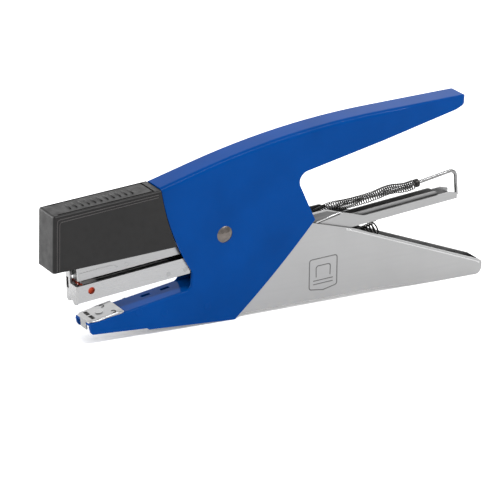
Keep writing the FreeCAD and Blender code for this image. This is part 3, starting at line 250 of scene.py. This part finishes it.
LOOKS = {
    "body_shell": enamel("blue_enamel_body", BLUE, 0.14),
    "jaw_liner": plated("liner_zinc", shade(NICKEL, 0.7), 0.42, ALONG),
    "anvil_plate": plated("anvil_chrome", CHROME, 0.36, ALONG, 0.06, 0.1),
    "anvil_rivet": plated("anvil_rivet_chrome", shade(CHROME, 0.85), 0.22),
    # The chrome pin is coloured dark brown as a painted reflection.
    "pivot_pin": plated("pin_chrome_painted_reflection", (0.13, 0.115, 0.105), 0.2, (1, 1, 1), 0.25, 0.05),
    "pivot_washer": plated("washer_nickel", NICKEL, 0.3),
    "pivot_sleeve": plated("sleeve_steel", shade(NICKEL, 0.8), 0.35),
    "stop_pin": plated("stop_pin_steel", shade(NICKEL, 0.8), 0.35),
    "lever_frame": plated("lever_nickel", shade(NICKEL, 1.08), 0.36, ALONG, 0.035, 0.06),
    "hammer_arm": plated("arm_chrome", shade(CHROME, 0.92), 0.26, ALONG, 0.04, 0.06),
    "arm_rivets": plated("arm_rivets_nickel", NICKEL, 0.3),
    "head_cap": plastic("cap_black", BLACK, 0.44, 5200, 0.00003),
    "driver_blade": plated("blade_steel", shade(NICKEL, 0.8), 0.28, UPRIGHT),
    "blade_rivets": plated("blade_rivets_steel", NICKEL, 0.3),
    "spring_anchor": plated("anchor_zinc", shade(NICKEL, 0.75), 0.42),
    "magazine_channel": plated("channel_nickel", NICKEL, 0.33, ALONG, 0.05, 0.07),
    "magazine_nose": plated("nose_nickel", CHROME, 0.25, ALONG, 0.04, 0.06),
    "nose_rivets": plated("nose_rivets_nickel", NICKEL, 0.3),
    "blade_guide": plastic("guide_black", shade(BLACK, 0.8), 0.5, 4200, 0.00002),
    "staple_rail": plated("rail_steel", shade(NICKEL, 0.85), 0.42, ALONG, 0.04, 0.05),
    "rail_rivets": plated("rail_rivets_steel", NICKEL, 0.3),
    # The chrome rod is darkened as a painted dark reflection.
    "follower_rod": plated("rod_chrome_painted_reflection", shade(CHROME, 0.6), 0.22, ALONG, 0.04, 0.05),
    "spring_collar": oiled("collar_dark", DARK_STEEL, 0.4),
    # The pusher's upward faces are darkened with painted shade.
    "pusher": top_shaded(plastic("pusher_red", RED, 0.32, 3600, 0.00001)),
}
# Dark spring wire, also laid as painted shade in the anvil's grooves and under the channel's beads.
WIRE_AND_SHADE = oiled("spring_wire_and_painted_shade", DARK_STEEL, 0.34)
ETCH = plated("etched_mark", shade(NICKEL, 0.42), 0.55, (1, 1, 1), 0.1, 0.2)
# Painted highlight: chrome lightened 1.4 times for the lit rims and beads.
HIGHLIGHT_CHROME = plated("rolled_edge_painted_highlight", shade(CHROME, 1.4), 0.26, ALONG, 0.03, 0.04)
# Painted shade: darkened, streaked nickel for the joggled plates.
STREAKED_SHADE = plated("joggle_painted_shade", shade(NICKEL, 0.4), 0.4, ALONG, 0.35, 0.15)
# Painted highlight: black plastic lightened 9 times for the cap's border lines.
CAP_LINE_HIGHLIGHT = plastic("cap_line_painted_highlight", shade(BLACK, 9), 0.4, 4600, 0.00001)

EDGE_BREAKS = {      # width of the broken edge on each sheet part
    "body_shell": 0.12, "lever_frame": 0.16, "head_cap": 0.16, "magazine_channel": 0.1,
    "magazine_nose": 0.12, "hammer_arm": 0.1, "staple_rail": 0.08, "anvil_plate": 0.12,
    "pusher": 0.15, "spring_anchor": 0.1, "jaw_liner": 0.08,
}
SHARP = math.radians(32)


def dress_cad():
    """Gives the CAD nodes listed in LOOKS their finish, and the sheet parts a small broken edge."""
    for name, node in frame["nodes"].items():
        if name in LOOKS:
            node.data.materials.clear()
            node.data.materials.append(LOOKS[name])
        if name in EDGE_BREAKS:
            weld = node.modifiers.new("weld", "WELD")
            weld.merge_threshold = 2e-6
            bevel = node.modifiers.new("edge_break", "BEVEL")
            bevel.width = EDGE_BREAKS[name] * MM
            bevel.segments = 2
            bevel.limit_method = "ANGLE"
            bevel.angle_limit = SHARP
            bevel.use_clamp_overlap = True
            bevel.harden_normals = False
            smooth = node.modifiers.new("even_normals", "WEIGHTED_NORMAL")
            smooth.keep_sharp = True


# ---------------------------------------------------------------- mesh helpers
def piece(name, matrix, verts, faces, look, slot, body=None, smooth=True):
    """A mesh object from points in millimetres, placed by the matrix, riding on the body."""
    mesh = bpy.data.meshes.new(name)
    mesh.from_pydata([matrix @ Vector(v) for v in verts], [], faces)
    mesh.validate()
    if smooth:
        mesh.shade_smooth()
    mesh.materials.append(look)
    obj = bpy.data.objects.new(name, mesh)
    bpy.context.scene.collection.objects.link(obj)
    if body:
        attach(obj, body)
    return obj


def swept(points, radius, sides=8):
    """Vertices and faces of a round wire along the points, closed with domed ends."""
    points = [Vector(p) for p in points]
    count = len(points)
    tangents = [
        (points[min(i + 1, count - 1)] - points[max(i - 1, 0)]).normalized() for i in range(count)]
    across = tangents[0].orthogonal().normalized()
    verts, faces = [], []

    def ring(centre, along, size):
        side = across.cross(along).normalized()
        for k in range(sides):
            angle = 2 * math.pi * k / sides
            verts.append(centre + (across * math.cos(angle) + side * math.sin(angle)) * size)

    ring(points[0] - tangents[0] * radius * 0.5, tangents[0], radius * 0.6)
    for i in range(count):
        across = (across - tangents[i] * across.dot(tangents[i])).normalized()
        ring(points[i], tangents[i], radius)
    ring(points[-1] + tangents[-1] * radius * 0.5, tangents[-1], radius * 0.6)
    rings = count + 2
    for i in range(rings - 1):
        for k in range(sides):
            a, b = i * sides + k, i * sides + (k + 1) % sides
            faces.append((a, b, b + sides, a + sides))
    faces.append(tuple(range(sides))[::-1])
    faces.append(tuple(range((rings - 1) * sides, rings * sides)))
    return verts, faces


def join_parts(parts):
    """One vertex list and one face list from several."""
    verts, faces = [], []
    for part_verts, part_faces in parts:
        start = len(verts)
        verts += list(part_verts)
        faces += [tuple(start + i for i in face) for face in part_faces]
    return verts, faces


def rounded(points, radius, steps=6):
    """The points with each inner corner turned into an arc of that radius."""
    points = [Vector(p) for p in points]
    out = [points[0]]
    for before, corner, after in zip(points, points[1:], points[2:]):
        into = (before - corner).normalized()
        away = (after - corner).normalized()
        half = into.angle(away) / 2
        reach = min(radius / math.tan(half), (before - corner).length / 2, (after - corner).length / 2)
        size = reach * math.tan(half)
        centre = corner + (into + away).normalized() * (size / math.sin(half))
        start = corner + into * reach - centre
        end = corner + away * reach - centre
        for k in range(steps + 1):
            out.append(centre + start.slerp(end, k / steps))
    return out + [points[-1]]


# ---------------------------------------------------------------- springs
def coil(centre, radius, start, end, pitch, phase=0.0, steps=18):
    """Points of a wire wound about centre(s), radius(s) away from it, for s from start to end."""
    turns = (end - start) / pitch
    count = int(turns * steps)
    points = []
    for i in range(count + 1):
        s = start + (end - start) * i / count
        here, along = centre(s), (centre(s + 0.01) - centre(s - 0.01)).normalized()
        side = Vector((0, 1, 0))
        up = along.cross(side).normalized() * -1
        angle = phase + 2 * math.pi * (s - start) / pitch
        points.append(here + (up * math.cos(angle) + side * math.sin(angle)) * radius(s))
    return points


ROD_Z = -8.54           # height of the rod inside the rail
RISE_X, CREST_X = 14.0, 43.0
RISE = (-3.25 - ROD_Z) / (CREST_X - RISE_X)
RUN = 0.3 / 35.0
BEND = 2.2              # how softly the rod turns at its bends
PUSHER_WIRE = 0.2
PUSHER_COIL = 1.4 - PUSHER_WIRE
REAR_SWELL = 0.4        # how much wider the coils are where the spring hangs loosely on the rod
SPLIT_X = 11.0          # where the spring's front and rear stretches meet
COIL_FRONT, COIL_REAR = -45.3, 79.2
SWELL_X, SLACK_X = 34.0, 40.0   # where the coils start to widen, and where they start to snake
SLACK_EASE = 6.0        # length over which either comes on
PUSHER_PITCH = 0.86


def rod_centre(x):
    """The rod's middle line in the track frame."""
    def past(corner):
        return 0.5 * (x - corner + math.sqrt((x - corner) ** 2 + BEND ** 2))
    return Vector((x, 0, ROD_Z + RISE * past(RISE_X) + (RUN - RISE) * past(CREST_X)))


def slack_centre(x):
    """The rear stretch hangs loosely on the rod and snakes from side to side of it."""
    loose = min(1.0, max(0.0, (x - SLACK_X) / SLACK_EASE), max(0.0, (COIL_REAR - x) / SLACK_EASE))
    lift = 0.5 * math.sin(2 * math.pi * (x - 61.5) / 22.0)
    sway = 0.4 * math.sin(2 * math.pi * (x - 52.0) / 15.0)
    return rod_centre(x) + Vector((0, sway, lift)) * loose


def swollen(x):
    """Radius of the pusher spring's coils, wider where they hang loosely."""
    return PUSHER_COIL + REAR_SWELL * min(1.0, max(0.0, (x - SWELL_X) / SLACK_EASE))


def pusher_springs():
    """The long coil on the rod: a front stretch that the pusher squeezes and a rear one that rides."""
    front = coil(lambda x: Vector((x, 0, ROD_Z)), lambda x: PUSHER_COIL, COIL_FRONT, SPLIT_X, PUSHER_PITCH)
    phase = 2 * math.pi * (SPLIT_X - COIL_FRONT) / PUSHER_PITCH
    obj = piece("pusher_spring_front", TRACK, *swept(front, PUSHER_WIRE), WIRE_AND_SHADE, "spring_steel", "rod")
    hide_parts("pusher_spring")
    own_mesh(obj)
    rear = coil(slack_centre, swollen, SPLIT_X, COIL_REAR, PUSHER_PITCH, phase)
    obj = piece("pusher_spring_coils", TRACK, *swept(rear, PUSHER_WIRE), WIRE_AND_SHADE, "spring_steel", "rod")
    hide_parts("pusher_spring_rear")


TURN_STEPS = 24         # points along each turn of the short springs
RETURN_FRONT = Vector((46.6, 0, -14.2))
RETURN_REAR = Vector((64.9, 0, -8.6))
RETURN_COIL, RETURN_WIRE, RETURN_PITCH = 2.2, 0.3, 1.1


def return_spring():
    """Coil between lever and magazine, hooked over the cross strip and into the channel's lug."""
    along = (RETURN_REAR - RETURN_FRONT).normalized()
    length = round((RETURN_REAR - RETURN_FRONT).length / RETURN_PITCH) * RETURN_PITCH
    turns = coil(lambda s: RETURN_FRONT + along * s, lambda s: RETURN_COIL, 0, length - 0.01, RETURN_PITCH,
                 math.pi, TURN_STEPS)
    hook = [Vector((44.85, 0, -14.6)), Vector((44.85, 0, -12.45)), Vector((45.9, 0, -12.1)), turns[0]]
    tail = [turns[-1], Vector((65.2, 0, -5.7)), Vector((66.3, 0, -5.3))]
    path = rounded(hook, 0.6)[:-1] + turns + rounded(tail, 0.8)[1:]
    obj = piece("return_spring_coils", BODY, *swept(path, RETURN_WIRE), WIRE_AND_SHADE, "spring_steel")
    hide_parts("return_spring")
    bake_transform(obj)


TORSION_COIL, TORSION_WIRE, TORSION_TURNS = 3.05, 0.29, 6.5
TORSION_HALF = 1.9      # half width of the wound turns


def torsion_spring():
    """Close-wound spring on the pivot sleeve, with one leg up and one leg down inside the channel."""
    half = TORSION_HALF
    path = []
    steps = int(TORSION_TURNS * TURN_STEPS)
    for i in range(steps + 1):
        angle = math.pi / 2 - 2 * math.pi * TORSION_TURNS * i / steps
        y = -half + 2 * half * i / steps
        path.append(Vector((TORSION_COIL * math.cos(angle), y, TORSION_COIL * math.sin(angle))))
    upper = [Vector((11, -half, 3.5)), Vector((10, -half, 3.05))]
    lower = [Vector((9.0, half, -4.0)), Vector((10.0, half, -5.0))]
    obj = piece("pivot_spring_coils", BODY, *swept(upper + path + lower, TORSION_WIRE), WIRE_AND_SHADE,
                "spring_steel", "body")
    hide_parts("pivot_spring")


# ---------------------------------------------------------------- details
CAP_FRONT = Vector((-65.0, 0, 15.9))      # top front edge of the cap
CAP_LOW = Vector((-64.5, 0, -3.8))        # foot of its front face
CAP_REAR = Vector((-25.5, 0, 19.3))       # top rear edge
PROUD = 0.02                              # how far a raised line's middle stands off its face
RIB_COUNT, RIB_FIRST, RIB_PITCH = 11, 8.0, 2.3
RIB_HALF, RIB_RADIUS = 1.9, 0.3
BORDER_INSETS, BORDER_RADIUS = (1.2, 2.1), 0.12


def cap_details():
    """Grip ribs on the cap's top and moulded border lines on both of its sides, the lines lightened as a
    painted highlight.
    """
    along = (CAP_REAR - CAP_FRONT).normalized()
    up = Vector((-along.z, 0, along.x))
    ribs = []
    half = Vector((0, RIB_HALF, 0))
    for i in range(RIB_COUNT):
        foot = CAP_FRONT + along * (RIB_FIRST + RIB_PITCH * i) + up * PROUD
        ribs.append(swept([foot - half, foot + half], RIB_RADIUS, 10))
    piece("cap_grip_ribs", BODY, *join_parts(ribs), LOOKS["head_cap"], "black_plastic", "lever")
    lines = []
    for side in (-1, 1):
        y = Vector((0, side * (CAP_HALF + PROUD), 0))
        for inset in BORDER_INSETS:
            ahead = Vector((inset + 0.1, 0, 0))
            under = Vector((0, 0, -inset))
            line = [CAP_LOW + ahead + y + Vector((0, 0, 0.7)), CAP_FRONT + ahead + under + y,
                    CAP_REAR - along * 1.0 + under + y]
            lines.append(swept(rounded(line, 1.0), BORDER_RADIUS))
    piece("cap_border_lines", BODY, *join_parts(lines), CAP_LINE_HIGHLIGHT, "black_plastic", "lever")


MARK_MIDDLE = Vector((41.0, -LEVER_HALF, -20.6))
MARK_HALF = 6.4         # half the size of its square frame
MARK_TILT = math.radians(-3)
MARK_STROKE, MARK_FLATTEN = 0.2, 0.3


def handle_mark():
    """Generic mark on the lower handle's near side: a staple over two sheets in a rounded frame."""
    middle, half = MARK_MIDDLE, MARK_HALF
    tilt = Matrix.Rotation(MARK_TILT, 4, "Y")

    def at(x, z):
        return middle + tilt @ Vector((x, 0, z))

    frame_line = rounded(
        [at(0, -half), at(-half, -half), at(-half, half), at(half, half), at(half, -half), at(0, -half)],
        1.8)
    staple = rounded([at(-2.8, -1.2), at(-2.8, 2.8), at(2.8, 2.8), at(2.8, -1.2)], 0.9)
    sheets = [[at(-3.9, z), at(3.9, z)] for z in (-2.5, -3.8)]
    strokes = [swept(line, MARK_STROKE, 6) for line in (frame_line, staple, *sheets)]
    verts, faces = join_parts(strokes)
    flat = [Vector((v.x, middle.y + (v.y - middle.y) * MARK_FLATTEN, v.z)) for v in verts]
    piece("handle_mark", BODY, flat, faces, ETCH, "nickel_steel", "lever")


SUNK = 0.01             # how deep a spot's rim is set into its face


def dished_spot(x, z, y, radius, proud):
    """A shallow round spot-weld mark, raised at its rim and dished in the middle."""
    profile = [(1.0, 0.0), (0.86, 1.0), (0.66, 0.9), (0.4, 0.35), (0.0, 0.15)]
    side = 1 if y > 0 else -1
    sides = 28
    verts, faces = [], []
    for share, lift in profile[:-1]:
        for k in range(sides):
            angle = 2 * math.pi * k / sides
            verts.append((x + radius * share * math.cos(angle), y + side * proud * lift,
                          z + radius * share * math.sin(angle)))
    verts.append((x, y + side * proud * profile[-1][1], z))
    for i in range(len(profile) - 2):
        for k in range(sides):
            a, b = i * sides + k, i * sides + (k + 1) % sides
            faces.append((a, b, b + sides, a + sides))
    last = (len(profile) - 2) * sides
    for k in range(sides):
        faces.append((last + k, last + (k + 1) % sides, len(verts) - 1))
    if side > 0:
        faces = [face[::-1] for face in faces]
    return verts, faces


WELD_PLACES = ((-22.0, -24.6), (-5.4, -24.9), (-31.8, -22.7))
WELD_RADIUS, WELD_PROUD = 1.45, 0.09


def weld_spots():
    """Spot-weld marks on both sides of the jaw, where the liner is fixed."""
    spots = [
        dished_spot(x, z, side * (SHELL_HALF - SUNK), WELD_RADIUS, WELD_PROUD)
        for side in (-1, 1) for x, z in WELD_PLACES
    ]
    piece("jaw_weld_spots", BODY, *join_parts(spots), LOOKS["body_shell"], "blue_enamel", "body")


JAW_TOP = -15.65        # top of the jaw's web in the jaw frame
ANVIL_TOP = JAW_TOP + 0.02 + 0.7
GROOVE_FLOOR = ANVIL_TOP - 0.4
LANCE_PLACES = ((-44.5, 3.2), (-43.3, -2.8))
LANCE_RADIUS, LANCE_WIRE = 0.8, 0.14
LANCE_SWEEP, LANCE_STEPS = 240, 14      # degrees of each C, and pieces that it is made of


def anvil_details():
    """Rolled rims beside the anvil plate, in lightened chrome as a painted highlight, and the two C-shaped
    lances behind its rivet.
    """
    rims = []
    for side in (-1, 1):
        stations = [(-53.2, 3.5, -0.55), (-52.2, 4.5, -0.6), (-49.6, 4.95, -0.5),
                    (-46.0, 5.0, -0.4), (-42.5, 4.95, -0.25), (-40.6, 4.75, -0.1)]
        line = [Vector((x, side * y, ANVIL_TOP + z)) for x, y, z in stations]
        rims.append(swept(rounded(line, 1.5, 4), 0.3, 10))
    piece("anvil_rims", JAW, *join_parts(rims), HIGHLIGHT_CHROME, "chrome", "body")
    lances = []
    for x, y in LANCE_PLACES:
        middle = Vector((x, y, ANVIL_TOP + 0.03))
        arc = []
        for k in range(LANCE_STEPS + 1):
            angle = math.radians(LANCE_SWEEP * (k / LANCE_STEPS - 0.5))
            arc.append(middle + Vector((math.cos(angle), math.sin(angle), 0)) * LANCE_RADIUS)
        lances.append(swept(arc, LANCE_WIRE))
    piece("anvil_lances", JAW, *join_parts(lances), WIRE_AND_SHADE, "chrome", "body")


def extruded(profile, near, far):
    """A plate between the planes y = near and y = far with the given (x, z) outline."""
    count = len(profile)
    verts = [(x, y, z) for y in (near, far) for x, z in profile]
    faces = [tuple(range(count)), tuple(range(2 * count - 1, count - 1, -1))]
    faces += [(i, i + count, (i + 1) % count + count, (i + 1) % count) for i in range(count)]
    return verts, faces


JOGGLE_FOOT = [(30.0, -6.0), (37.1, -5.5)]      # lower edge of the joggled plate, then its brow
JOGGLE_BROW = [(46.4, -4.4), (41.6, -2.7), (30.0, -2.6)]
JOGGLE_BEAD = JOGGLE_FOOT + [(46.6, -4.5), (47.4, -4.9)]
JOGGLE_ROUND = 0.8


def channel_joggle():
    """Joggled plate over the upper part of each channel ear, darkened as painted shade, with a rolled bead
    under it in lightened chrome as a painted highlight and a dark line of painted shadow below the bead.
    """
    plates, beads, shadow_lines = [], [], []
    for side in (-1, 1):
        inner, outer = side * (CHANNEL_HALF - 0.05), side * (CHANNEL_HALF + 0.14)
        outline = (JOGGLE_FOOT + JOGGLE_BROW)[::-1]
        plates.append(extruded(outline, min(inner, outer), max(inner, outer)))
        line = [(x, outer, z) for x, z in JOGGLE_BEAD]
        beads.append(swept(rounded(line, JOGGLE_ROUND), 0.28, 10))
        # A dark line under each bead: painted shadow.
        line = [(x, side * (CHANNEL_HALF + 0.1), z - 0.42) for x, z in JOGGLE_BEAD[:-1]]
        shadow_lines.append(swept(rounded(line, JOGGLE_ROUND), 0.13))
    piece("channel_joggle_shadow_lines", TRACK, *join_parts(shadow_lines), WIRE_AND_SHADE, "nickel_steel", "magazine")
    piece("channel_joggle", TRACK, *join_parts(plates), STREAKED_SHADE, "nickel_steel", "magazine", smooth=False)
    piece("channel_joggle_beads", TRACK, *join_parts(beads), HIGHLIGHT_CHROME, "nickel_steel", "magazine")


def handle_rims():
    """Rolled rims along the top edges of the lower handle's walls, in lightened chrome as a painted
    highlight.
    """
    rims = []
    for side in (-1, 1):
        y = side * (LEVER_HALF - 0.3)
        line = [(49.5, y, -6.1), (52.8, y, -6.9), (106.2, y, -26.45), (107.2, y, -27.4)]
        rims.append(swept(rounded(line, 1.2), 0.42, 10))
    piece("handle_rims", BODY, *join_parts(rims), HIGHLIGHT_CHROME, "nickel_steel", "lever")


def groove_shade():
    """Dark beads along the floors of the anvil's two staple grooves: painted shade in the grooves."""
    strokes = []
    for side in (-1, 1):
        for x in (-51.35, -50.9, -50.45):
            line = [Vector((x, side * y, GROOVE_FLOOR + 0.04)) for y in (0.5, 1.8, 3.05)]
            strokes.append(swept(line, 0.2))
    piece("anvil_groove_shade", JAW, *join_parts(strokes), WIRE_AND_SHADE, "chrome", "body")


def arm_dimples():
    """Round pressed dimples at the rear of the hammer arm's pads."""
    spots = [dished_spot(-36.5, -2.0, side * (CHANNEL_HALF - SUNK), 0.8, 0.08) for side in (-1, 1)]
    piece("arm_dimples", TRACK, *join_parts(spots), LOOKS["hammer_arm"], "chrome", "lever")


# ---------------------------------------------------------------- studio
LAMP_DISTANCE = 0.9     # metres from the pivot
FLOOR_SIZE = 6.0        # metres


def area_light(name, direction, size, power, shift=0.0):
    """A rectangular lamp that faces the pivot from the direction, then moved along X by shift."""
    lamp = bpy.data.lights.new(name, "AREA")
    lamp.shape = "RECTANGLE"
    lamp.size, lamp.size_y = size
    lamp.energy = power
    obj = bpy.data.objects.new(name, lamp)
    spot = Vector(direction).normalized() * LAMP_DISTANCE
    obj.location = PIVOT + spot + Vector((shift, 0, 0))
    obj.rotation_euler = (-spot).to_track_quat("-Z", "Y").to_euler()
    bpy.context.scene.collection.objects.link(obj)


def studio():
    """Pale floor, white surroundings and three large soft lights."""
    bpy.ops.mesh.primitive_plane_add(size=FLOOR_SIZE, location=(0, 0, 0))
    floor = bpy.context.object
    floor.name = "floor"
    paper = Finish("floor_paper", 0.0)
    fibre = paper.noise(40, 3)
    paper.tint(paper.mix(paper.span(fibre, 0, 1), (0.90, 0.90, 0.90), (0.92, 0.92, 0.92)))
    paper.shader.inputs["Emission Color"].default_value = (1, 1, 1, 1)
    paper.shader.inputs["Emission Strength"].default_value = 0.2
    floor.data.materials.append(paper.material)
    world = bpy.data.worlds.new("studio")
    world.use_nodes = True
    background = world.node_tree.nodes["Background"]
    background.inputs["Color"].default_value = (1, 1, 1, 1)
    background.inputs["Strength"].default_value = 1.0
    bpy.context.scene.world = world
    bpy.context.scene.view_settings.view_transform = "Standard"
    area_light("overhead_strip", (0, -0.46, 0.89), (0.8, 0.03), 8.0, shift=0.28)
    area_light("back_left", (-0.6, 0.78, 0.12), (0.9, 0.4), 8.0)
    area_light("back_high", (0.5, 0.79, 0.4), (0.9, 0.6), 1.6)


AZIMUTH, ELEVATION, ROLL = math.radians(-32.3), math.radians(21.2), math.radians(3.2)
DISTANCE = 1.0          # metres from the camera to its aim
LENS = 216              # millimetres, on a sensor 36 wide
AIM = Vector((8.4, -5.0, -5.2))     # right, depth and up of the aim from the pivot, in millimetres


def camera():
    """Long lens from the front left, a little above, tipped by a small roll."""
    back = Vector((math.sin(AZIMUTH) * math.cos(ELEVATION), -math.cos(AZIMUTH) * math.cos(ELEVATION),
                   math.sin(ELEVATION)))
    level = Vector((0, 0, 1)).cross(back).normalized()
    rise = back.cross(level)
    right = level * math.cos(ROLL) + rise * math.sin(ROLL)
    up = rise * math.cos(ROLL) - level * math.sin(ROLL)
    data = bpy.data.cameras.new("camera")
    data.lens = LENS
    data.sensor_width = 36
    data.clip_end = 20
    obj = bpy.data.objects.new("camera", data)
    turn = Matrix((right, up, back)).transposed().to_4x4()
    aim = PIVOT + Vector((0, AIM.y, 0)) * MM + right * AIM.x * MM + up * AIM.z * MM
    obj.matrix_world = Matrix.Translation(aim + back * DISTANCE) @ turn
    bpy.context.scene.collection.objects.link(obj)
    bpy.context.scene.camera = obj


camera()
dress_cad()
pusher_springs()
return_spring()
torsion_spring()
cap_details()
handle_mark()
weld_spots()
anvil_details()
channel_joggle()
handle_rims()
arm_dimples()
groove_shade()
studio()
